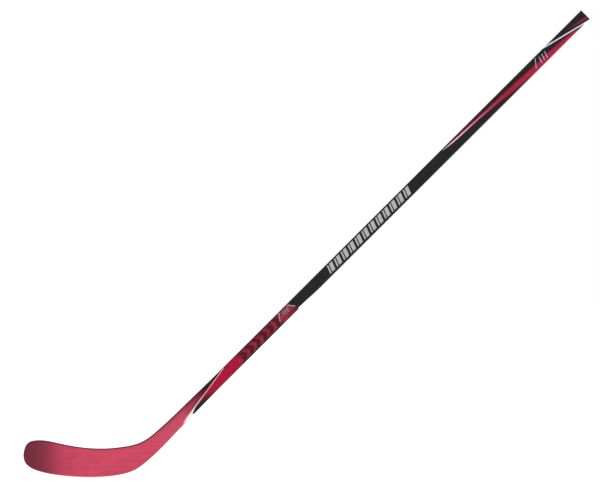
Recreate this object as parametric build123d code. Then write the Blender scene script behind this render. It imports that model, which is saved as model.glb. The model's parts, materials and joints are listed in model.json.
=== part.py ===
from build123d import *
import math
import os

# Ice hockey stick, left-handed, senior size, in millimetres.
#
# World frame: the ice is the plane Z = 0 and +Z is up. The origin is the point where the shaft's
# centre line meets the ice. The toe points to -X, the shaft rises towards +X, and the blade's toe
# curls towards +Y, which is the forehand side.
#
# Shaft frame: x is the distance from the butt end along the centre line, y runs across the broad
# faces and is positive towards the underside, z points to the backhand side (world -Y).

# ---------------------------------------------------------------- driving dimensions
CENTRE_LENGTH = 1538.0  # butt end to ice plane, along the shaft's centre line
LIE_ANGLE = 45.0  # the shaft's centre line above the ice, in degrees

SHAFT_WIDTH = 28.4  # across the broad faces' edges
SHAFT_THICKNESS = 20.0  # between the broad faces
EDGE_RADIUS = 2.6  # long edges of shaft, neck and blade
PLY_WALL = 0.4  # outer woven ply
TUBE_WALL = 1.6  # structural laminate under it
JOINT = 1355.0  # distance from the butt end to the line where the blade is fused on
FLARE_START = 1230.0  # from here to the joint the shaft's edges spread
FLARE = 1.8  # by this much on each edge

CAP_FLANGE = 2.5
CAP_PROUD = 0.5  # the cap's flange stands this much outside the shaft
CAP_STEM = 32.0
CAP_STEM_WALL = 1.8
CAP_RIB_HEIGHT = 0.5
CAP_RIB_LENGTH = 2.0
CAP_RIB_COUNT = 4
FIT_GAP = 0.05  # clearance of a pushed-in piece

FOAM_PLUG_START = 1180.0  # the damping foam in the lower shaft
TENON_START = 1290.0
TENON_END = 1425.0
TENON_WALL = 1.5
BOND_LINE = 0.2  # adhesive between tenon and shaft

BLADE_TOE_THICKNESS = 6.0
BLADE_MID_THICKNESS = 7.0
BLADE_THICKENS_FROM = -60.0  # world x where the blade starts to swell towards the shaft
BLADE_FULL_AT = 110.0  # world x where it has reached the shaft's thickness
CURVE_START = -20.0  # world x where the blade leaves the shaft's plane
CURVE_RADIUS = 700.0

SKIN = 1.0  # laminate skins of the blade
RIM = 2.0  # solid edge around the blade's cores
HOSEL_CORE_END = 1452.0  # distance from the butt end
TOE_INSERT_X = -196.0
RIB_HEEL = (90.0, 88.0)  # line of the bridge rib, world x and z
RIB_MIDDLE = (-40.0, 33.5)
RIB_TOE = (-215.0, 50.0)
RIB_HALF_HEIGHT = 2.5

FILM = 0.10  # thickness of a printed transfer
FILM_GAP = 0.05  # from the surface under it
STRIPE_WIDTH = 11.0  # white stripe near the butt, measured along the shaft
STRIPE_LOW = 10.0  # its centre line crosses the lower edge this far from the butt end
STRIPE_HIGH = 124.0  # and the top edge here
EMBLEM_START = 128.0  # upper emblem, from the butt end
EMBLEM_PITCH = 9.0
EMBLEM_COUNT = 3
EMBLEM_LINE = 2.0  # width of an emblem's lines
BARS_START = 579.0
BAR_PITCH = 22.8
BAR_COUNT = 12
BAR_WIDE = 9.5
BAR_NARROW = 4.0
BAR_GAP = 3.0
BAR_LOW = -10.6  # across the face
BAR_HIGH = 8.2
BAR_LEAN = 7.0
SIDE_FLASH_START = 888.0  # pale wedge on the lower edge, which ends at the wrap
WRAP_START = 964.5  # crimson wrap of the lower shaft, at the lower edge
WRAP_TOP_START = 976.0  # the same line at the top edge
LOWER_EMBLEM_START = 982.0
MARKS_START = 1011.0  # the wrap's black-edged part
MARKS_END = 1148.0
MARKED_LOW = -11.0  # the wrap's edges in that part
MARKED_HIGH = 10.0
MARK_PITCH = 22.0
MARK_COUNT = 6
MARK_REACH = 8.0
MARK_THICKNESS = 11.0
PIN_START = 1174.0  # the pinstripe's line leaves the top edge here
PIN_RUN = 173.0  # and reaches the lower edge this much further down
PIN_RISE = 26.7
PIN_SEEN = 1186.0  # the printed line begins here
PIN_HALF_START = 0.7
PIN_HALF_END = 1.2
WRAP_TIP = 1300.0  # the crimson wrap ends in a point under the pinstripe
FADE_START = 1236.0

# ---------------------------------------------------------------- blade outline, world x and z
THROAT_EXIT = (87.5, 112.8)
THROAT = (45.0, 82.0)
TOP_REAR = (6.0, 71.8)
SADDLE = (-55.0, 67.3)  # lowest point of the top edge
TOP_RISE = (-144.5, 78.5)
TOE_TOP = (-200.0, 85.7)
TOE_CORNER = (-222.3, 78.3)
TOE_FRONT = (-230.2, 63.0)
TOE_TIP = (-232.0, 46.0)
TOE_UNDER = (-226.5, 30.4)
SOLE_TOE = (-203.0, 15.3)
SOLE_FRONT = (-170.0, 7.0)
SOLE = (-125.0, 1.7)
ROCKER = (-78.0, 0.0)  # the blade rests on the ice here
HEEL_FRONT = (-10.0, 4.7)
HEEL = (32.0, 17.3)
HEEL_BACK = (58.0, 35.6)

# ---------------------------------------------------------------- frames
DOWN = Vector(-math.cos(math.radians(LIE_ANGLE)), 0, -math.sin(math.radians(LIE_ANGLE)))
BUTT = DOWN * -CENTRE_LENGTH
SHAFT = Plane(origin=BUTT, x_dir=DOWN, z_dir=(0, -1, 0))
HALF_WIDTH = SHAFT_WIDTH / 2
TUBE_INSET = PLY_WALL
BORE_INSET = PLY_WALL + TUBE_WALL
TENON_INSET = BORE_INSET + BOND_LINE
REACH = 60.0  # cutting tools reach this far past the stick's sides
OVERRUN = 30.0  # the blade's shape is drawn this far past the joint, then cut off there
SLAB_STATIONS = 24
EDGE_STATIONS = 60


def save(name, shape):
    """Write one node from every solid of a shape."""
    solids = shape.solids()
    export_step(solids[0] if len(solids) == 1 else Compound(children=solids), f"parts/{name}.step")


def in_shaft(local):
    """Move a shape from the shaft frame to the world."""
    return SHAFT.location * local


def world_point(distance, across):
    """World x and z of a point of the shaft frame."""
    point = SHAFT.from_local_coords((distance, across, 0))
    return (point.X, point.Z)


def section(distance, inset, spread=0.0):
    """Rounded rectangle across the shaft, its sides this far inside the shaft's outer faces."""
    radius = max(EDGE_RADIUS - inset, 0.6)
    shape = RectangleRounded(SHAFT_WIDTH + 2 * (spread - inset), SHAFT_THICKNESS - 2 * inset, radius)
    return Plane(origin=(distance, 0, 0), x_dir=(0, 1, 0), z_dir=(1, 0, 0)) * shape


def bar(start, end, inset):
    """Straight bar along the shaft."""
    return extrude(section(start, inset), end - start)


def spread_at(distance):
    """How far the shaft's edges have spread towards the blade."""
    return FLARE * max(distance - FLARE_START, 0) / (JOINT - FLARE_START)


def outer_bar(start, end, inset):
    """Bar that follows the shaft's outer surface, with its flare towards the blade."""
    if end <= FLARE_START:
        return bar(start, end, inset)
    flare_from = max(start, FLARE_START)
    ends = [section(distance, inset, spread_at(distance)) for distance in (flare_from, end)]
    flare = loft(ends)
    return flare if start >= FLARE_START else bar(start, FLARE_START, inset) + flare


def sleeve(start, end, outer_inset, inner_inset):
    """Straight tube between two insets."""
    return bar(start, end, outer_inset) - bar(start - 1, end + 1, inner_inset)


# ---------------------------------------------------------------- shaft
def shaft_outer_ply():
    return in_shaft(outer_bar(CAP_FLANGE, JOINT, 0) - bar(CAP_FLANGE - 1, JOINT + 1, TUBE_INSET))


def shaft_tube():
    return in_shaft(sleeve(CAP_FLANGE, JOINT, TUBE_INSET, BORE_INSET))


def butt_cap():
    """Moulded plug: a flange over the shaft's end and a hollow stem with crush ribs."""
    flange = bar(0, CAP_FLANGE, -CAP_PROUD)
    rim = flange.edges().group_by(Axis.X)[0]
    flange = fillet(rim, CAP_FLANGE / 3)
    stem_inset = BORE_INSET + FIT_GAP + CAP_RIB_HEIGHT
    plug = flange + bar(CAP_FLANGE, CAP_STEM, stem_inset)
    spacing = (CAP_STEM - CAP_FLANGE) / CAP_RIB_COUNT
    for index in range(CAP_RIB_COUNT):
        start = CAP_FLANGE + spacing * (index + 0.5) - CAP_RIB_LENGTH / 2
        plug += bar(start, start + CAP_RIB_LENGTH, BORE_INSET + FIT_GAP)
    return in_shaft(plug - bar(CAP_FLANGE, CAP_STEM + 1, stem_inset + CAP_STEM_WALL))


def damping_foam():
    return in_shaft(bar(FOAM_PLUG_START, TENON_START - 1, BORE_INSET + FIT_GAP))


# ---------------------------------------------------------------- tenon
def tenon_shell():
    return in_shaft(sleeve(TENON_START, TENON_END, TENON_INSET, TENON_INSET + TENON_WALL))


def tenon_core():
    return in_shaft(bar(TENON_START, TENON_END, TENON_INSET + TENON_WALL))


def bond_sleeve():
    return in_shaft(sleeve(TENON_START, JOINT, BORE_INSET, TENON_INSET))


# ---------------------------------------------------------------- blade
def blade_edge():
    """Side view of blade and neck as one curve, which starts and ends a little way past the joint."""
    past = JOINT - OVERRUN
    top_end = world_point(past, -HALF_WIDTH - spread_at(past))
    bottom_end = world_point(past, HALF_WIDTH + spread_at(past))
    neck_top = world_point(JOINT, -HALF_WIDTH - FLARE)
    neck_bottom = world_point(JOINT, HALF_WIDTH + FLARE)
    top = [top_end, neck_top, THROAT_EXIT, THROAT, TOP_REAR, SADDLE, TOP_RISE, TOE_TOP]
    toe = [TOE_CORNER, TOE_FRONT, TOE_TIP, TOE_UNDER, SOLE_TOE]
    bottom = [SOLE_FRONT, SOLE, ROCKER, HEEL_FRONT, HEEL, HEEL_BACK, neck_bottom, bottom_end]
    ends = [(DOWN.X, DOWN.Z), (-DOWN.X, -DOWN.Z)]
    return Spline(*top, *toe, *bottom, tangents=ends)


def moved_inward(curve, distance):
    """The same curve, this far inside the blade."""
    points = []
    for index in range(EDGE_STATIONS + 1):
        along = curve % (index / EDGE_STATIONS)
        points.append(curve @ (index / EDGE_STATIONS) + Vector(-along.Y, along.X) * distance)
    return Spline(*points)


def side_face(curve):
    """Face inside a curve whose two ends are joined by a straight line."""
    return make_face(Wire([curve.edge(), Line(curve @ 1, curve @ 0).edge()]))


def side_prism(face):
    """Extrude a side-view face right through the stick."""
    return extrude(Plane.XZ.offset(-REACH) * face, 2 * REACH)


def blade_thickness(x):
    """Thickness of the blade at a world x: slim in the blade, as thick as the shaft in the neck."""
    if x < BLADE_THICKENS_FROM:
        share = (BLADE_THICKENS_FROM - x) / (BLADE_THICKENS_FROM - TOE_TIP[0])
        return BLADE_MID_THICKNESS + (BLADE_TOE_THICKNESS - BLADE_MID_THICKNESS) * share
    share = min((x - BLADE_THICKENS_FROM) / (BLADE_FULL_AT - BLADE_THICKENS_FROM), 1)
    smooth = share * share * (3 - 2 * share)
    return BLADE_MID_THICKNESS + (SHAFT_THICKNESS - BLADE_MID_THICKNESS) * smooth


def blade_middle(x):
    """World y of the blade's middle surface: straight by the heel, then an arc out to the toe."""
    if x >= CURVE_START:
        return 0.0
    return CURVE_RADIUS - math.sqrt(CURVE_RADIUS**2 - (CURVE_START - x) ** 2)


def curved_slab(skin):
    """Top view of the blade less a skin on each side, extruded upwards."""
    toe_x = TOE_TIP[0] - 10
    step = (BLADE_FULL_AT + REACH - toe_x) / SLAB_STATIONS
    stations = [toe_x + step * index for index in range(SLAB_STATIONS + 1)]
    forehand = [(x, blade_middle(x) + blade_thickness(x) / 2 - skin) for x in stations]
    backhand = [(x, blade_middle(x) - blade_thickness(x) / 2 + skin) for x in stations]
    ends = [(step, forehand[1][1] - forehand[0][1]), (1, 0)]
    edges = [
        Spline(*forehand, tangents=ends),
        Line(forehand[-1], backhand[-1]),
        Spline(*backhand, tangents=ends),
        Line(backhand[0], forehand[0]),
    ]
    face = make_face(Wire([line.edge() for line in edges]))
    return extrude(Plane.XY.offset(-REACH) * face, 5 * REACH)


def above_cut(distance):
    """Everything on the butt's side of a cut across the shaft, as a cutting tool."""
    return in_shaft(Location((distance - 2 * REACH, 0, 0)) * Box(4 * REACH, 4 * REACH, 4 * REACH))


def bridge_band():
    """Side view of the band that the bridge rib fills, from the hosel's core to the toe insert."""
    middle = [RIB_HEEL, RIB_MIDDLE, RIB_TOE]
    upper = Spline(*[(x, z + RIB_HALF_HEIGHT) for x, z in middle])
    lower = Spline(*[(x, z - RIB_HALF_HEIGHT) for x, z in middle])
    ends = [Line(upper @ 0, lower @ 0), Line(upper @ 1, lower @ 1)]
    return make_face(Wire([line.edge() for line in (upper, lower, *ends)]))


def blade_pieces():
    """Cut the one blade-and-neck shape into the pieces that it is laid up from."""
    outline = blade_edge()
    body = side_prism(side_face(outline)) & curved_slab(0)
    long_edges = body.edges().sort_by(SortBy.LENGTH)[-2:]
    body = fillet(long_edges, EDGE_RADIUS) - above_cut(JOINT)

    laminate = curved_slab(SKIN)
    backhand, forehand = (body - laminate).solids().sort_by(Axis.Y)
    middle = body & laminate
    inside = side_prism(side_face(moved_inward(outline, RIM))) - above_cut(JOINT)
    cores = middle & inside

    hosel = (cores & above_cut(HOSEL_CORE_END)) - in_shaft(bar(JOINT - 1, TENON_END, TENON_INSET))
    blade_cores = cores - above_cut(HOSEL_CORE_END)
    toe_side = Location((TOE_INSERT_X - 2 * REACH, 0, 0)) * Box(4 * REACH, 4 * REACH, 4 * REACH)
    foam = blade_cores - toe_side
    rib = foam & side_prism(bridge_band())
    lower, upper = (foam - rib).solids().sort_by(Axis.Z)
    return {
        "backhand_skin": backhand,
        "forehand_skin": forehand,
        "blade_rim": middle - inside,
        "hosel_core": hosel,
        "toe_insert": blade_cores & toe_side,
        "bridge_rib": rib,
        "lower_foam_core": lower,
        "upper_foam_core": upper,
    }


# ---------------------------------------------------------------- printed transfers on the shaft
# Outlines are in the shaft frame: distance from the butt end, and place across the broad face. A
# transfer that runs past the face's edge wraps round the narrow side to the other broad face.
PAST_EDGE = HALF_WIDTH + 3.0


def film(layer, *faces):
    """Thin film over the shaft inside each outline; layer 1 lies on the ply, layer 2 on layer 1."""
    inner = -FILM_GAP - (layer - 1) * (FILM + FILM_GAP)
    boxes = [face.bounding_box() for face in faces]
    start = max(min(box.min.X for box in boxes) - 1, CAP_FLANGE)
    end = min(max(box.max.X for box in boxes) + 1, JOINT)
    skin = outer_bar(start, end, inner - FILM) - outer_bar(start - 1, end + 1, inner)
    stamp = [extrude(Plane.XY.offset(-SHAFT_THICKNESS) * face, 2 * SHAFT_THICKNESS) for face in faces]
    pieces = [(skin & one).solids() for one in stamp]
    return in_shaft(Compound(children=[solid for group in pieces for solid in group]))


def patch(*corners):
    """Face with straight sides."""
    return make_face(Polyline(*corners, close=True))


def slash(start, width, low, high, lean):
    """Leaning bar across the face, its end at the lower edge further from the butt."""
    return patch((start, low), (start + width, low), (start + width + lean, high), (start + lean, high))


def chevron(tip, reach, low, high, thickness):
    """Arrow head that points to the butt end."""
    middle = (low + high) / 2
    outer = [(tip + reach, high), (tip, middle), (tip + reach, low)]
    inner = [(x + thickness, y) for x, y in reversed(outer)]
    return patch(*outer, *inner)


def pin_across(distance):
    """Place of the pinstripe's line across the face."""
    return PIN_RISE * (distance - PIN_START) / PIN_RUN - HALF_WIDTH


def pin_edge(distance, side):
    """Point on one edge of the pinstripe, which widens towards the blade."""
    half = PIN_HALF_START + (PIN_HALF_END - PIN_HALF_START) * (distance - PIN_START) / PIN_RUN
    return (distance, pin_across(distance) + side * half)


def maroon_glow_film():
    return film(1, patch((0, 0), (0, 12), (66, -6.5)))


def white_stripe_film():
    slope = (STRIPE_HIGH - STRIPE_LOW) / SHAFT_WIDTH
    past = slope * (PAST_EDGE - HALF_WIDTH)
    low = STRIPE_LOW - past - STRIPE_WIDTH / 2
    high = STRIPE_HIGH + past - STRIPE_WIDTH / 2
    lower_end = [(low, PAST_EDGE), (low + STRIPE_WIDTH, PAST_EDGE)]
    upper_end = [(high + STRIPE_WIDTH, -PAST_EDGE), (high, -PAST_EDGE)]
    return film(2, patch(*lower_end, *upper_end))


def upper_flash_film():
    """Long crimson flash from the lower edge near the butt to a tip by the top edge."""
    rear = (28, PAST_EDGE)
    corner = (175, PAST_EDGE)
    tip = (466, -11.8)
    upper = Spline(rear, (60, 5.5), (118, 0), (250, -6.6), (372, -11.6), tip)
    lower = Spline(corner, (306, 5), (400, -3.6), tip)
    return film(1, make_face(Wire([upper.edge(), lower.edge(), Line(rear, corner).edge()])))


def highlight_streak_film():
    """Pale streak along the flash, widest shortly before its tip."""
    rear = (252, 1.4)
    tip = (464, -11.4)
    upper = Spline(rear, (310, -2.5), (381, -6.7), (440, -9.8), tip)
    lower = Spline(rear, (310, -1.5), (381, -4.7), (440, -7.4), tip)
    return film(2, make_face(Wire([upper.edge(), lower.edge()])))


def upper_emblem_film():
    """Short slanting strokes and a longer one after them."""
    starts = [EMBLEM_START + EMBLEM_PITCH * index for index in range(EMBLEM_COUNT)]
    strokes = [slash(start, EMBLEM_LINE, -7, 8, 5) for start in starts]
    edge_line = slash(starts[-1] + EMBLEM_PITCH, EMBLEM_LINE, -11, 8, 15)
    return film(2, *strokes, edge_line)


def silver_bars_film():
    bars = []
    for index in range(BAR_COUNT):
        start = BARS_START + BAR_PITCH * index
        bars.append(slash(start, BAR_WIDE, BAR_LOW, BAR_HIGH, BAR_LEAN))
        bars.append(slash(start + BAR_WIDE + BAR_GAP, BAR_NARROW, BAR_LOW, BAR_HIGH, BAR_LEAN))
    return film(1, *bars)


def side_flash_film():
    start = SIDE_FLASH_START
    end = WRAP_START - 1
    return film(1, patch((start, PAST_EDGE), (start, HALF_WIDTH), (end, 11.2), (end, PAST_EDGE)))


def lower_wrap_film():
    """Crimson wrap: black shaft edges show along its marked part, and it ends under the pinstripe."""
    pin_at_top = PIN_START - PIN_RUN / PIN_RISE * (PAST_EDGE - HALF_WIDTH)
    tip = (WRAP_TIP, pin_across(WRAP_TIP))
    corner = (1206, PAST_EDGE)
    top = [(WRAP_TOP_START, -PAST_EDGE), (MARKS_START, -PAST_EDGE), (MARKS_START, MARKED_LOW)]
    top += [(MARKS_END, MARKED_LOW), (MARKS_END, -PAST_EDGE), (pin_at_top, -PAST_EDGE), tip]
    lower_edge = Spline(tip, (1255, 10.6), corner)
    bottom = [corner, (MARKS_END, PAST_EDGE), (MARKS_END, MARKED_HIGH), (MARKS_START, MARKED_HIGH)]
    bottom += [(MARKS_START, PAST_EDGE), (WRAP_START, PAST_EDGE), (WRAP_START, 2), top[0]]
    edges = [*Polyline(*top).edges(), lower_edge.edge(), *Polyline(*bottom).edges()]
    return film(1, make_face(Wire(edges)))


def emblem_field_film():
    return film(2, patch((967, 3), (978, -12), (1001, -12), (1012, 4)))


def lower_emblem_film():
    """Two border lines along the field's slanting sides, and three fine strokes between them."""
    borders = [slash(976, EMBLEM_LINE, -11, 3, -12), slash(1003, EMBLEM_LINE, -12.5, 4.5, 12)]
    starts = [LOWER_EMBLEM_START + 6 * index for index in range(3)]
    return film(3, *borders, *[slash(start, 1.2, -8, 1, 3) for start in starts])


def dark_marks_film():
    low = MARKED_LOW + 1
    high = MARKED_HIGH - 0.5
    starts = [MARKS_START + 1 + MARK_PITCH * index for index in range(MARK_COUNT)]
    return film(2, *[chevron(start, MARK_REACH, low, high, MARK_THICKNESS) for start in starts])


def neck_fade_film():
    """From black on the shaft to the blade's red at the joint, above the pinstripe."""
    pin_end = PIN_START + PIN_RUN
    pin_side = [(FADE_START, pin_across(FADE_START)), (pin_end, pin_across(pin_end))]
    joint_side = [(JOINT, PAST_EDGE), (JOINT, -PAST_EDGE)]
    return film(1, patch(*pin_side, *joint_side, (FADE_START, -PAST_EDGE)))


def pinstripe_film():
    """Fine line across the face which opens into a white wedge on the lower edge."""
    upper = [pin_edge(PIN_SEEN, -1), pin_edge(PIN_START + PIN_RUN, -1)]
    wedge = [(JOINT, PAST_EDGE), (1316, PAST_EDGE), (1312, 11)]
    lower = [pin_edge(WRAP_TIP, 1), pin_edge(PIN_SEEN, 1)]
    return film(2, patch(*upper, *wedge, *lower))


NODES = [
    butt_cap,
    shaft_outer_ply,
    shaft_tube,
    damping_foam,
    tenon_shell,
    tenon_core,
    bond_sleeve,
    maroon_glow_film,
    white_stripe_film,
    upper_flash_film,
    highlight_streak_film,
    upper_emblem_film,
    silver_bars_film,
    side_flash_film,
    lower_wrap_film,
    emblem_field_film,
    lower_emblem_film,
    dark_marks_film,
    neck_fade_film,
    pinstripe_film,
]

os.makedirs("parts", exist_ok=True)
for node in NODES:
    save(node.__name__, node())
for name, shape in blade_pieces().items():
    save(name, shape)
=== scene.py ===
import json
import math

import bpy
from mathutils import Matrix, Vector


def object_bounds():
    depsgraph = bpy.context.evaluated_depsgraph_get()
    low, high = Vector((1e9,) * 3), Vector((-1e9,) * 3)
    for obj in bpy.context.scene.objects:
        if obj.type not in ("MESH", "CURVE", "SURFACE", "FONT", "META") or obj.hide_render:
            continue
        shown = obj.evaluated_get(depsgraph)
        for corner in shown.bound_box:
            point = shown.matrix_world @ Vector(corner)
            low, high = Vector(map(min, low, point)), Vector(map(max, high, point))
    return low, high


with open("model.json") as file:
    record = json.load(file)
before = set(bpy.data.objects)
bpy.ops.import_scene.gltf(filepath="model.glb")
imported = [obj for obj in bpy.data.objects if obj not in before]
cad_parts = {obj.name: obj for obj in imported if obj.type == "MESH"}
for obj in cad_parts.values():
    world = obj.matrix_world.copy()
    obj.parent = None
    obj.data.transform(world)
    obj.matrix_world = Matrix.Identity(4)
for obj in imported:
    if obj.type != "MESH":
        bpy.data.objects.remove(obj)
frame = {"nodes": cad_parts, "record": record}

# Ice hockey stick. Metres, in the CAD model's frame: the ice is z = 0, the shaft rises towards +x,
# the blade's toe points to -x and curls towards +y. Materials work in millimetres.

CAD_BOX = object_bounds()
BOX_LOW = Vector(CAD_BOX[0])
BOX_HIGH = Vector(CAD_BOX[1])
NODES = frame["nodes"]
MOUNTS = {mount["name"]: mount for mount in frame["record"]["mounts"]}
MM = 1000.0  # millimetres in a metre

# ---------------------------------------------------------------- directions
BUTT = Vector(MOUNTS["butt_end"]["pos_m"])
UP_SHAFT = Vector(MOUNTS["butt_end"]["axis"]).normalized()
DOWN = -UP_SHAFT
ACROSS = Vector((UP_SHAFT.z, 0.0, -UP_SHAFT.x))  # across the broad face, towards the underside
THROUGH = Vector((0.0, 1.0, 0.0))  # from the backhand face to the forehand face
HEELWARD = Vector((1.0, 0.0, 0.0))  # along the blade
UPWARD = Vector((0.0, 0.0, 1.0))
UPPER_SIDE = Vector((-0.5, 0.0, 0.85))  # between the ways that the blade's and the neck's tops face
LOWER_SIDE = -UPPER_SIDE


# ---------------------------------------------------------------- places along the stick, in mm
def span(name):
    """Where a node starts and ends along the shaft, from the butt end."""
    places = [(vertex.co - BUTT).dot(DOWN) * MM for vertex in NODES[name].data.vertices]
    return min(places), max(places)


JOINT = span("shaft_outer_ply")[1]  # the shaft's ply ends, and the blade's neck begins
GLOW_END = span("maroon_glow_film")[1]
FLASH_END = span("upper_flash_film")[1]
STREAK_START, STREAK_END = span("highlight_streak_film")
SIDE_START, SIDE_END = span("side_flash_film")
WRAP_START, WRAP_END = span("lower_wrap_film")
MARKS_START, MARKS_END = span("dark_marks_film")
NECK_START = span("neck_fade_film")[0]
SHAFT_HALF = 14.2  # half the shaft's broad face
TOE_X = BOX_LOW.x * MM

# Soft bands of colour, as (place along the shaft, place across it or half a width).
GLOW_MIDDLE = [(0, 6.5), (34, 0.5), (GLOW_END, -6.5)]
GLOW_HALF = [(0, 7), (34, 4), (GLOW_END, 1)]
FLASH_MIDDLE = [(28, 16), (90, 11), (188, 6.2), (286, -0.8), (370, -6.2), (FLASH_END, -11.8)]
FLASH_HALF = [(28, 7), (90, 10.5), (200, 9.5), (258, 8), (314, 6), (400, 6), (FLASH_END, 4)]
TOE_SHADE = [(0, 1.0), (32, 0.9), (67, 0.57), (92, 0.24), (132, 0.0)]  # place from the toe, share of painted shade

# Changes of colour, as (where one begins, where it is complete).
FLASH_DIMS = (200, 300)  # along the shaft
FLASH_TURNS_MAROON = (280, FLASH_END - 26)
SHAFT_TOP_SHADE_LINE = (-11.0, -13.8)  # across it, towards the upper edge, where a painted shade line runs
# painted shade: the dark line along the neck's top edge
NECK_TOP_SHADE_LINE = (-11.2, -15.2)
# painted shade towards the neck's top, across it
NECK_TOP_SHADE = (-4, -14)
WRAP_SHADE_EDGES = (5, SHAFT_HALF)  # across it, both ways, where painted shade darkens the wrap's edges
NECK_LAG = 9.0  # the neck turns red this much later by its upper edge
TIP_LEAD = 16.0  # the wrap's tip darkens this much sooner by its lower edge

EDGE_STEP = 8.0  # spacing of the points read along the blade's upper edge
EDGE_SHADE_HEIGHT = 4.5  # height of the painted shade line under the blade's upper edge
EDGE_SHADE_HEIGHT_NECK = 7.5  # and under the neck's, which slopes
EDGE_CHANGE = (10.0, 90.0)  # x where the first gives way to the second

# ---------------------------------------------------------------- patterns
SHAFT_TOW = 2.4  # width of the fibre bundles in each woven cloth, mm
INNER_TOW = 3.0
BLADE_TOW = 4.2
TWILL_REPEAT = 4.0  # tows before the weave repeats
SIDE_COSINE = 0.7  # what faces more sideways than this is one of the shaft's narrow sides
NOISE_BAND = (0.3, 0.7)  # the values between which most of the cloud noise lies

# ---------------------------------------------------------------- camera and room
VIEW_WIDTH = 1.4091  # metres across the image at the stick
VIEW_DISTANCE = 12.0
VIEW_SHIFT = Vector((-0.0142, 0.0, 0.0030))  # from the middle of the stick's box
VIEW_ROLL = math.radians(0.08)
SENSOR = 36.0  # mm
FAR_CLIP = 100.0
AMBIENT_TOP = 0.7  # the studio's light from the upper left
AMBIENT_LOW = 1.7  # and from the lower right
LOWER_RIGHT = Vector((0.6, 0.0, -0.8))
BEHIND_LENS = 0.12  # share of the light that is left straight behind the camera
FLOOR_REACH = 30.0  # from the frame's origin to the floor's edge
FLOOR_GAP = 0.0005  # between the floor and the lowest point of the blade
FLOOR_GLOW = 0.6  # strength of its own light


# ---------------------------------------------------------------- colours
def linear(red, green, blue):
    """Linear colour of an 8-bit display colour, by the sRGB formula."""
    channels = []
    for value in (red, green, blue):
        share = value / 255
        channels.append(share / 12.92 if share <= 0.04045 else ((share + 0.055) / 1.055) ** 2.4)
    return (*channels, 1.0)


PURE_WHITE = (1.0, 1.0, 1.0, 1.0)
BLACK = linear(34, 33, 35)
DEEP_BLACK = linear(28, 24, 27)
CAP_BLACK = linear(40, 40, 42)
LAMINATE_GREY = linear(62, 63, 66)
FOAM_CREAM = linear(226, 216, 196)
FOAM_TAN = linear(206, 190, 158)
AMBER_DARK = linear(176, 138, 74)
AMBER_LIGHT = linear(206, 172, 112)
AMBER_VOID = linear(120, 84, 40)
BLADE_RED = linear(220, 74, 103)
BLADE_SPECK = linear(184, 92, 108)
# painted shade for the toe
TOE_PAINTED_SHADE = linear(116, 26, 50)
HEEL_RED = linear(202, 92, 112)
# painted shade for the blade's and the neck's edges
EDGE_PAINTED_SHADE = linear(92, 26, 40)
# scuffs on the sole, lightened as a painted highlight
SOLE_SCUFF_AND_HIGHLIGHT = linear(222, 138, 152)
MAROON = linear(98, 20, 44)
DARK_MAROON = linear(84, 18, 38)
NECK_MAROON = linear(104, 26, 48)
GLOW_RED = linear(128, 44, 66)
FLASH_RED = linear(186, 40, 72)
CRIMSON = linear(188, 10, 58)
# painted shade for the wrap's edges
WRAP_EDGE_SHADE = linear(120, 40, 58)
WRAP_DARK = linear(118, 28, 42)
WRAP_LIGHT = linear(178, 42, 74)
WRAP_TIP = linear(96, 26, 42)
MARK_DARK = linear(86, 18, 32)
STREAK_RED = linear(214, 96, 124)
STREAK_PINK = linear(255, 212, 224)
PINK = linear(255, 190, 206)
PIN_WHITE = linear(255, 250, 252)
WHITE = linear(248, 244, 245)
SILVER = linear(196, 196, 197)
SIDE_GREY = linear(150, 150, 153)
EMBLEM_PINK = linear(150, 76, 92)
EMBLEM_DARK = linear(112, 52, 66)


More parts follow.
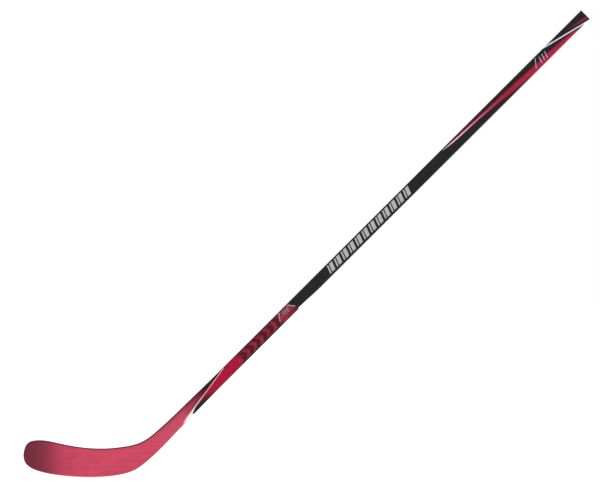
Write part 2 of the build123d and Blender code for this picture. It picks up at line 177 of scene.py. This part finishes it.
# ---------------------------------------------------------------- node helpers
class Graph:
    """The node tree of a material or a world. Inputs may be numbers, colours or outputs of nodes."""

    def __init__(self, owner):
        self.owner = owner
        owner.use_nodes = True
        self.tree = owner.node_tree
        self.tree.nodes.clear()

    def node(self, kind, **settings):
        made = self.tree.nodes.new(kind)
        for name, value in settings.items():
            setattr(made, name, value)
        return made

    def feed(self, socket, value):
        """Link an output to a socket, or set the socket to a number or a colour."""
        if isinstance(value, bpy.types.NodeSocket):
            self.tree.links.new(value, socket)
        else:
            socket.default_value = value

    def math(self, operation, *values):
        made = self.node("ShaderNodeMath", operation=operation)
        for socket, value in zip(made.inputs, values):
            self.feed(socket, value)
        return made.outputs[0]

    def ramp(self, value, low, high, start=0.0, end=1.0, kind="SMOOTHSTEP"):
        """Goes from start to end while value goes from low to high."""
        made = self.node("ShaderNodeMapRange", interpolation_type=kind)
        for socket, item in zip(made.inputs, (value, low, high, start, end)):
            self.feed(socket, item)
        return made.outputs[0]

    def curve(self, value, points):
        """Smooth curve through points (value, result), level outside them."""
        low_x, high_x = points[0][0], points[-1][0]
        results = [result for _, result in points]
        low_y, high_y = min(results), max(results)
        made = self.node("ShaderNodeFloatCurve")
        line = made.mapping.curves[0]
        shares = [((x - low_x) / (high_x - low_x), (y - low_y) / (high_y - low_y)) for x, y in points]
        line.points[0].location = shares[0]
        line.points[1].location = shares[-1]
        for share in shares[1:-1]:
            line.points.new(*share)
        made.mapping.update()
        self.feed(made.inputs["Value"], self.ramp(value, low_x, high_x, kind="LINEAR"))
        return self.ramp(made.outputs[0], 0.0, 1.0, low_y, high_y, kind="LINEAR")

    def mix(self, share, first, second):
        """Mix of two colours."""
        made = self.node("ShaderNodeMix", data_type="RGBA")
        for place, value in ((0, share), (6, first), (7, second)):
            self.feed(made.inputs[place], value)
        return made.outputs[2]

    def blend(self, share, first, second):
        """Mix of two numbers."""
        made = self.node("ShaderNodeMix", data_type="FLOAT")
        for place, value in ((0, share), (2, first), (3, second)):
            self.feed(made.inputs[place], value)
        return made.outputs[0]

    def scaled(self, colour, factor):
        """A colour made lighter or darker by a factor."""
        made = self.node("ShaderNodeVectorMath", operation="SCALE")
        self.feed(made.inputs[0], colour if isinstance(colour, bpy.types.NodeSocket) else colour[:3])
        self.feed(made.inputs["Scale"], factor)
        return made.outputs[0]

    def dot(self, vector, axis):
        """How far a vector reaches along an axis."""
        made = self.node("ShaderNodeVectorMath", operation="DOT_PRODUCT")
        self.feed(made.inputs[0], vector)
        made.inputs[1].default_value = axis
        return made.outputs["Value"]

    def position(self):
        return self.node("ShaderNodeTexCoord").outputs["Object"]

    def along(self, origin, axis):
        """Millimetres from an origin along an axis."""
        offset = self.node("ShaderNodeVectorMath", operation="SUBTRACT")
        self.feed(offset.inputs[0], self.position())
        offset.inputs[1].default_value = origin
        return self.dot(offset.outputs[0], axis * MM)

    def facing(self, axis):
        """Cosine between the surface's normal and an axis."""
        return self.dot(self.node("ShaderNodeNewGeometry").outputs["Normal"], axis)

    def noise(self, size, detail=2.0, stretch=(1.0, 1.0, 1.0)):
        """Cloud noise from 0 to 1 with features of about this size in millimetres."""
        mapping = self.node("ShaderNodeMapping")
        self.feed(mapping.inputs["Vector"], self.position())
        mapping.inputs["Scale"].default_value = stretch
        made = self.node("ShaderNodeTexNoise")
        self.feed(made.inputs["Vector"], mapping.outputs[0])
        made.inputs["Scale"].default_value = MM / size
        made.inputs["Detail"].default_value = detail
        return made.outputs["Fac"]

    def clouds(self, size, detail, lowest, highest, band=NOISE_BAND, **options):
        """Goes from lowest to highest while noise goes through a band of its values."""
        return self.ramp(self.noise(size, detail, **options), *band, lowest, highest)

    def cells(self, size):
        """Distance from the nearest cell's middle, as in foam."""
        made = self.node("ShaderNodeTexVoronoi")
        self.feed(made.inputs["Vector"], self.position())
        made.inputs["Scale"].default_value = MM / size
        return made.outputs["Distance"]

    def bump(self, height, distance, strength=1.0):
        """Normal from a height of 0 to 1 that stands for this many millimetres."""
        made = self.node("ShaderNodeBump")
        made.inputs["Distance"].default_value = distance / MM
        made.inputs["Strength"].default_value = strength
        self.feed(made.inputs["Height"], height)
        return made.outputs[0]

    def surface(self, colour, roughness, normal=None, specular=0.3, coat=0.0, coat_roughness=0.2, glow=0.0):
        """Finish a material with one shader."""
        shader = self.node("ShaderNodeBsdfPrincipled")
        settings = {
            "Base Color": colour,
            "Roughness": roughness,
            "Specular IOR Level": specular,
            "Coat Weight": coat,
            "Coat Roughness": coat_roughness,
            "Emission Color": PURE_WHITE,
            "Emission Strength": glow,
        }
        for name, value in settings.items():
            self.feed(shader.inputs[name], value)
        if normal is not None:
            self.feed(shader.inputs["Normal"], normal)
        output = self.node("ShaderNodeOutputMaterial")
        self.feed(output.inputs["Surface"], shader.outputs[0])
        return self.owner


def new_material(name):
    """Graph of a new, empty material."""
    return Graph(bpy.data.materials.new(name))


# ---------------------------------------------------------------- shared patterns
def shaft_place(graph):
    """Distance from the butt end, place across the broad face, and place through the shaft, in mm."""
    return graph.along(BUTT, DOWN), graph.along(BUTT, ACROSS), graph.along(BUTT, THROUGH)


def blade_place(graph):
    """Place along the blade from the frame's origin, and height above the ice, in mm."""
    origin = Vector((0.0, 0.0, 0.0))
    return graph.along(origin, HEELWARD), graph.along(origin, UPWARD)


def off_middle(graph, middle, half):
    """How far a point is from the middle of a soft band: 0 there and 1 at half the band's width."""
    distance, across, _ = shaft_place(graph)
    away = graph.math("ABSOLUTE", graph.math("SUBTRACT", across, graph.curve(distance, middle)))
    return graph.math("DIVIDE", away, graph.curve(distance, half))


def twill(graph, first, second, tow):
    """Woven cloth with tows this wide: which tow is on top, and the height of its rounded back."""
    tows = [graph.math("DIVIDE", place, tow) for place in (first, second)]
    cells = [graph.math("FLOOR", place) for place in tows]
    angles = [graph.math("MULTIPLY", graph.math("FRACT", place), math.pi) for place in tows]
    backs = [graph.math("SINE", angle) for angle in angles]
    step = graph.math("FLOORED_MODULO", graph.math("ADD", *cells), TWILL_REPEAT)
    on_top = graph.math("LESS_THAN", step, TWILL_REPEAT / 2)
    return on_top, graph.blend(on_top, *backs)


def shaft_twill(graph, tow):
    """Twill round the shaft: across the broad faces, and through the shaft on its narrow sides."""
    distance, across, through = shaft_place(graph)
    on_side = graph.math("GREATER_THAN", graph.math("ABSOLUTE", graph.facing(ACROSS)), SIDE_COSINE)
    return twill(graph, distance, graph.blend(on_side, across, through), tow)


# ---------------------------------------------------------------- structural materials
def black_ply():
    """Lacquered woven ply: twill just visible, with slightly uneven tone and gloss."""
    graph = new_material("black_ply")
    on_top, height = shaft_twill(graph, SHAFT_TOW)
    tone = graph.math("MULTIPLY", graph.blend(on_top, 0.86, 1.14), graph.clouds(60, 3, 0.9, 1.1))
    colour = graph.scaled(BLACK, tone)
    roughness = graph.clouds(14, 4, 0.36, 0.48)
    normal = graph.bump(height, 0.03, 0.35)
    return graph.surface(colour, roughness, normal, specular=0.25, coat=0.15, coat_roughness=0.3)


def grey_laminate():
    """Bare laminate inside the stick: dark woven fibre bundles in a matt resin."""
    graph = new_material("grey_laminate")
    on_top, height = shaft_twill(graph, INNER_TOW)
    colour = graph.scaled(LAMINATE_GREY, graph.blend(on_top, 0.75, 1.2))
    return graph.surface(colour, graph.clouds(5, 3, 0.5, 0.7), graph.bump(height, 0.08, 0.6))


def foam():
    """Closed-cell foam, faintly stained."""
    graph = new_material("foam")
    cells = graph.cells(1.1)
    colour = graph.scaled(FOAM_CREAM, graph.ramp(cells, 0.0, 0.7, 0.8, 1.05))
    stains = graph.clouds(12, 2, 0.0, 0.25, band=(0.35, 0.7))
    colour = graph.mix(stains, colour, FOAM_TAN)
    return graph.surface(colour, 0.9, graph.bump(cells, 0.25, 0.8), specular=0.2)


def adhesive():
    """Cured amber resin with small voids."""
    graph = new_material("adhesive")
    colour = graph.mix(graph.noise(8, 3), AMBER_DARK, AMBER_LIGHT)
    voids = graph.ramp(graph.cells(2.0), 0.0, 0.14, 0.6, 0.0)
    colour = graph.mix(voids, colour, AMBER_VOID)
    return graph.surface(colour, 0.32, graph.bump(graph.noise(3, 2), 0.05, 0.4), specular=0.5)


def cap_plastic():
    """Moulded black plastic with a fine spark-eroded grain."""
    graph = new_material("cap_plastic")
    grain = graph.noise(0.5, 4)
    colour = graph.scaled(CAP_BLACK, graph.clouds(9, 3, 0.85, 1.2))
    roughness = graph.ramp(grain, *NOISE_BAND, 0.48, 0.66)
    return graph.surface(colour, roughness, graph.bump(grain, 0.04, 0.6), specular=0.3)


# ---------------------------------------------------------------- the blade
def top_edge():
    """Points (x, z) in mm along the upper edge of the blade, read from its rim."""
    corners = [vertex.co * MM for vertex in NODES["blade_rim"].data.vertices]
    start = TOE_X + EDGE_STEP
    end = max(corners, key=lambda corner: corner.z).x
    count = round((end - start) / EDGE_STEP)
    points = []
    for place in range(count + 1):
        x = start + (end - start) * place / count
        near = [corner for corner in corners if abs(corner.x - x) < EDGE_STEP / 2]
        if near:
            highest = max(near, key=lambda corner: corner.z)
            points.append((highest.x, highest.z))
    return points


def blade_red(graph):
    """Red of the blade: cloudy, streaked along its length, with painted shade towards the toe and on top of
    the neck.
    """
    x, _ = blade_place(graph)
    distance, across, _ = shaft_place(graph)
    cloud = graph.clouds(26, 3, 0.96, 1.05, band=(0.35, 0.65))
    streaks = graph.clouds(9, 4, 0.95, 1.05, stretch=(0.12, 1.0, 1.0))
    colour = graph.scaled(BLADE_RED, graph.math("MULTIPLY", cloud, streaks))
    specks = graph.clouds(5, 4, 0.0, 0.12, band=(0.45, 0.8))
    colour = graph.mix(specks, colour, BLADE_SPECK)
    # painted shade: the red darkens towards the toe
    toe_painted_shade = graph.curve(x, [(TOE_X + place, share) for place, share in TOE_SHADE])
    colour = graph.mix(toe_painted_shade, colour, TOE_PAINTED_SHADE)
    colour = graph.mix(graph.ramp(distance, JOINT + 15, JOINT + 95, 0.4, 0.0), colour, HEEL_RED)
    by_joint = graph.ramp(distance, JOINT - 15, JOINT + 75, 1.0, 0.0)
    # painted shade: maroon along the neck's top, near the joint
    on_top = graph.ramp(across, *NECK_TOP_SHADE, 0.0, 0.45)
    return graph.mix(graph.math("MULTIPLY", by_joint, on_top), colour, MAROON)


def blade_colour(graph):
    """The blade's red with a painted shade line along its upper edge."""
    x, z = blade_place(graph)
    # painted shade line along the blade's upper edge
    depth = graph.math("SUBTRACT", graph.curve(x, top_edge()), z)
    line = graph.ramp(x, *EDGE_CHANGE, EDGE_SHADE_HEIGHT, EDGE_SHADE_HEIGHT_NECK)
    return graph.mix(graph.ramp(depth, 1.0, line, 0.8, 0.0), blade_red(graph), EDGE_PAINTED_SHADE)


def painted_side_shade(graph, colour, start, top_share):
    """Painted shade: darken what faces the upper and the lower side, from this cosine on."""
    upper = graph.ramp(graph.facing(UPPER_SIDE), start, 0.6, 0.0, top_share)
    lower = graph.ramp(graph.facing(LOWER_SIDE), start, 0.7, 0.0, 0.6)
    return graph.mix(lower, graph.mix(upper, colour, EDGE_PAINTED_SHADE), EDGE_PAINTED_SHADE)


def red_laminate():
    """Blade skin: woven cloth faintly showing through translucent satin red paint, with painted shade on
    what faces up or down.
    """
    graph = new_material("red_laminate")
    x, z = blade_place(graph)
    on_top, height = twill(graph, graph.math("ADD", x, z), graph.math("SUBTRACT", z, x), BLADE_TOW)
    colour = graph.scaled(blade_colour(graph), graph.blend(on_top, 0.985, 1.015))
    # painted shade on what faces up or down
    colour = painted_side_shade(graph, colour, start=0.12, top_share=0.95)
    roughness = graph.clouds(9, 4, 0.36, 0.5)
    normal = graph.bump(height, 0.03, 0.25)
    return graph.surface(colour, roughness, normal, specular=0.35, coat=0.12, coat_roughness=0.28)


def red_edge():
    """Edge of the blade: fibres run along it, with painted shade above and below, and scuffs on the sole
    lightened into a painted highlight.
    """
    graph = new_material("red_edge")
    fibres = graph.noise(3.0, 3, stretch=(0.2, 3.0, 0.2))
    colour = graph.scaled(blade_colour(graph), graph.ramp(fibres, *NOISE_BAND, 0.82, 1.0))
    # painted shade on what faces up or down
    colour = painted_side_shade(graph, colour, start=0.0, top_share=0.9)
    # the sole's scuffs, lightened pink as a painted highlight
    sole = graph.ramp(graph.facing(-UPWARD), 0.7, 1.0)
    scuffs_and_highlight = graph.math("MULTIPLY", sole, graph.clouds(2.2, 4, 0.0, 0.5, band=(0.52, 0.62)))
    colour = graph.mix(scuffs_and_highlight, colour, SOLE_SCUFF_AND_HIGHLIGHT)
    roughness = graph.ramp(fibres, *NOISE_BAND, 0.42, 0.6)
    return graph.surface(colour, roughness, graph.bump(fibres, 0.05, 0.5), specular=0.35)


# ---------------------------------------------------------------- printed transfers
def ink(name, colour_of, roughness=0.3):
    """Printed film: its colour from a function, with the slight ripple of a transfer under lacquer."""
    graph = new_material(name)
    colour = graph.scaled(colour_of(graph), graph.clouds(4, 4, 0.95, 1.05))
    rough = graph.clouds(7, 3, roughness - 0.05, roughness + 0.08)
    ripple = graph.bump(graph.noise(2.5, 2), 0.02, 0.3)
    return graph.surface(colour, rough, ripple, coat=0.1, coat_roughness=0.25)


def plain(colour):
    """Colour function of an ink that has one colour."""
    return lambda graph: colour


def glow_colour(graph):
    """Dull red by the butt, fading to black on both sides and darker down the shaft."""
    distance, _, _ = shaft_place(graph)
    centre = graph.mix(graph.ramp(distance, 24, GLOW_END + 2), GLOW_RED, DARK_MAROON)
    offset = off_middle(graph, GLOW_MIDDLE, GLOW_HALF)
    return graph.mix(graph.ramp(offset, 0.2, 0.95), centre, DEEP_BLACK)


def flash_colour(graph):
    """Crimson core of the long flash, fading through maroon to black on both sides, with a painted shade
    line along the upper edge.
    """
    distance, across, _ = shaft_place(graph)
    offset = off_middle(graph, FLASH_MIDDLE, FLASH_HALF)
    cloud = graph.clouds(14, 4, -0.06, 0.16, band=(0.35, 0.65))
    fade = graph.math("ADD", graph.ramp(offset, 0.35, 1.0), cloud)
    core = graph.scaled(FLASH_RED, graph.ramp(distance, *FLASH_DIMS, 0.95, 0.72))
    core = graph.mix(graph.ramp(distance, *FLASH_TURNS_MAROON), core, MAROON)
    side = graph.mix(graph.ramp(offset, 0.6, 1.0), MAROON, DEEP_BLACK)
    colour = graph.mix(fade, core, side)
    # painted shade line along the upper edge
    return graph.mix(graph.ramp(across, *SHAFT_TOP_SHADE_LINE, 0.0, 0.75), colour, DEEP_BLACK)


def streak_colour(graph):
    """Pale streak: rose at its start, nearly white further down."""
    distance, _, _ = shaft_place(graph)
    return graph.mix(graph.ramp(distance, STREAK_START + 18, STREAK_END - 64), STREAK_RED, STREAK_PINK)


def side_flash_colour(graph):
    """Grey at the wedge's start, white at its end."""
    distance, _, _ = shaft_place(graph)
    return graph.mix(graph.ramp(distance, SIDE_START, SIDE_END - 13.5), SIDE_GREY, WHITE)


def wrap_colour(graph):
    """Crimson wrap: dark and blotchy under the marks, clear after them, with painted shade at its edges,
    and dark at its tip.
    """
    distance, across, _ = shaft_place(graph)
    # painted shade at the wrap's edges
    edge = graph.ramp(graph.math("ABSOLUTE", across), *WRAP_SHADE_EDGES, 0.0, 0.7)
    clear = graph.mix(edge, CRIMSON, WRAP_EDGE_SHADE)
    dull = graph.mix(graph.clouds(9, 4, 0.0, 1.0), WRAP_DARK, WRAP_LIGHT)
    colour = graph.mix(graph.ramp(distance, MARKS_END - 3, MARKS_END + 17), dull, clear)
    colour = graph.mix(graph.ramp(distance, WRAP_START, MARKS_START, 0.35, 0.0), colour, MAROON)
    sooner = graph.math("MULTIPLY", graph.ramp(across, 0.0, SHAFT_HALF), TIP_LEAD)
    tip = graph.ramp(graph.math("ADD", distance, sooner), WRAP_END - 52, WRAP_END - 14)
    return graph.mix(tip, colour, WRAP_TIP)


def emblem_colour(graph):
    """Dusty pink field, clouded."""
    return graph.mix(graph.clouds(5, 3, 0.0, 1.0, band=(0.35, 0.65)), EMBLEM_PINK, EMBLEM_DARK)


def silver_colour(graph):
    """Silver ink with fine flakes."""
    return graph.scaled(SILVER, graph.ramp(graph.cells(0.45), 0.1, 0.6, 1.06, 0.94))


def neck_colour(graph):
    """Black to maroon to the blade's red, with the dark lasting longest by the top edge, and a painted
    shade line along that edge.
    """
    distance, across, _ = shaft_place(graph)
    late = graph.math("MULTIPLY", graph.ramp(across, -4, -13), NECK_LAG)
    place = graph.math("SUBTRACT", distance, late)
    colour = graph.mix(graph.ramp(place, NECK_START + 6, NECK_START + 30), BLACK, NECK_MAROON)
    to_red = graph.ramp(place, NECK_START + 26, JOINT - 13, kind="LINEAR")
    colour = graph.mix(to_red, colour, blade_red(graph))
    # painted shade line along the neck's top edge
    return graph.mix(graph.ramp(across, *NECK_TOP_SHADE_LINE, 0.0, 0.78), colour, EDGE_PAINTED_SHADE)


def pin_colour(graph):
    """Pinstripe: pink, then white, then into the blade's red by the joint."""
    distance, _, _ = shaft_place(graph)
    colour = graph.mix(graph.ramp(distance, JOINT - 95, JOINT - 55), PINK, PIN_WHITE)
    return graph.mix(graph.ramp(distance, JOINT - 27, JOINT - 3), colour, blade_red(graph))


# ---------------------------------------------------------------- materials onto the CAD nodes
def dress():
    """Give every CAD node its material."""
    laminate = grey_laminate()
    cellular = foam()
    amber = adhesive()
    skin = red_laminate()
    silver = ink("silver_ink", silver_colour, roughness=0.38)
    looks = {
        "butt_cap": cap_plastic(),
        "shaft_outer_ply": black_ply(),
        "shaft_tube": laminate,
        "damping_foam": cellular,
        "tenon_shell": laminate,
        "tenon_core": cellular,
        "bond_sleeve": amber,
        "hosel_core": laminate,
        "backhand_skin": skin,
        "forehand_skin": skin,
        "blade_rim": red_edge(),
        "toe_insert": amber,
        "bridge_rib": laminate,
        "lower_foam_core": cellular,
        "upper_foam_core": cellular,
        "maroon_glow_film": ink("glow_ink", glow_colour),
        "white_stripe_film": ink("white_ink", plain(WHITE)),
        "upper_flash_film": ink("flash_ink", flash_colour),
        "highlight_streak_film": ink("streak_ink", streak_colour),
        "upper_emblem_film": silver,
        "silver_bars_film": silver,
        "side_flash_film": ink("side_flash_ink", side_flash_colour),
        "lower_wrap_film": ink("wrap_ink", wrap_colour),
        "emblem_field_film": ink("emblem_ink", emblem_colour),
        "lower_emblem_film": silver,
        "dark_marks_film": ink("mark_ink", plain(MARK_DARK), roughness=0.34),
        "neck_fade_film": ink("neck_ink", neck_colour),
        "pinstripe_film": ink("pinstripe_ink", pin_colour),
    }
    for name, material in looks.items():
        mesh = NODES[name].data
        mesh.materials.clear()
        mesh.materials.append(material)
    missing = set(NODES) - set(looks)
    assert not missing, f"no material for {missing}"


# ---------------------------------------------------------------- room
def room():
    """White surroundings for the camera; for the stick, soft light with a darker patch behind the lens."""
    scene = bpy.context.scene
    scene.view_settings.view_transform = "Standard"
    scene.world = bpy.data.worlds.new("studio")
    graph = Graph(scene.world)
    sky = graph.node("ShaderNodeTexCoord").outputs["Generated"]
    light = graph.ramp(graph.dot(sky, LOWER_RIGHT), -0.6, 0.8, AMBIENT_TOP, AMBIENT_LOW)
    behind_lens = graph.ramp(graph.dot(sky, -THROUGH), 0.72, 0.97, 1.0, BEHIND_LENS)
    light = graph.math("MULTIPLY", light, behind_lens)
    for_camera = graph.node("ShaderNodeLightPath").outputs["Is Camera Ray"]
    background = graph.node("ShaderNodeBackground")
    graph.feed(background.inputs["Color"], PURE_WHITE)
    graph.feed(background.inputs["Strength"], graph.blend(for_camera, light, 1.0))
    output = graph.node("ShaderNodeOutputWorld")
    graph.feed(output.inputs["Surface"], background.outputs[0])


def floor():
    """Pale floor under the blade. It glows a little, so that it burns out to white as in a light tent."""
    graph = new_material("floor_white")
    colour = graph.scaled(PURE_WHITE, graph.clouds(400, 2, 0.88, 0.9))
    white = graph.surface(colour, 0.9, specular=0.5, glow=FLOOR_GLOW)
    height = BOX_LOW.z - FLOOR_GAP
    corners = [(-1, -1), (1, -1), (1, 1), (-1, 1)]
    mesh = bpy.data.meshes.new("floor")
    mesh.from_pydata([(x * FLOOR_REACH, y * FLOOR_REACH, height) for x, y in corners], [], [(0, 1, 2, 3)])
    mesh.materials.append(white)
    plane = bpy.data.objects.new("floor", mesh)
    bpy.context.scene.collection.objects.link(plane)
    plane.visible_diffuse = False
    plane.visible_glossy = False
    plane.visible_shadow = False


def camera():
    """Square on to the backhand face, the whole stick in frame."""
    lens = bpy.data.cameras.new("camera")
    lens.sensor_width = SENSOR
    lens.lens = SENSOR * VIEW_DISTANCE / VIEW_WIDTH
    lens.clip_end = FAR_CLIP
    holder = bpy.data.objects.new("camera", lens)
    bpy.context.scene.collection.objects.link(holder)
    middle = (BOX_LOW + BOX_HIGH) / 2
    spot = Vector((middle.x, -VIEW_DISTANCE, middle.z)) + VIEW_SHIFT
    level = Matrix.Rotation(math.radians(90), 4, "X")
    holder.matrix_world = Matrix.Translation(spot) @ level @ Matrix.Rotation(VIEW_ROLL, 4, "Z")
    bpy.context.scene.camera = holder


dress()
room()
floor()
camera()
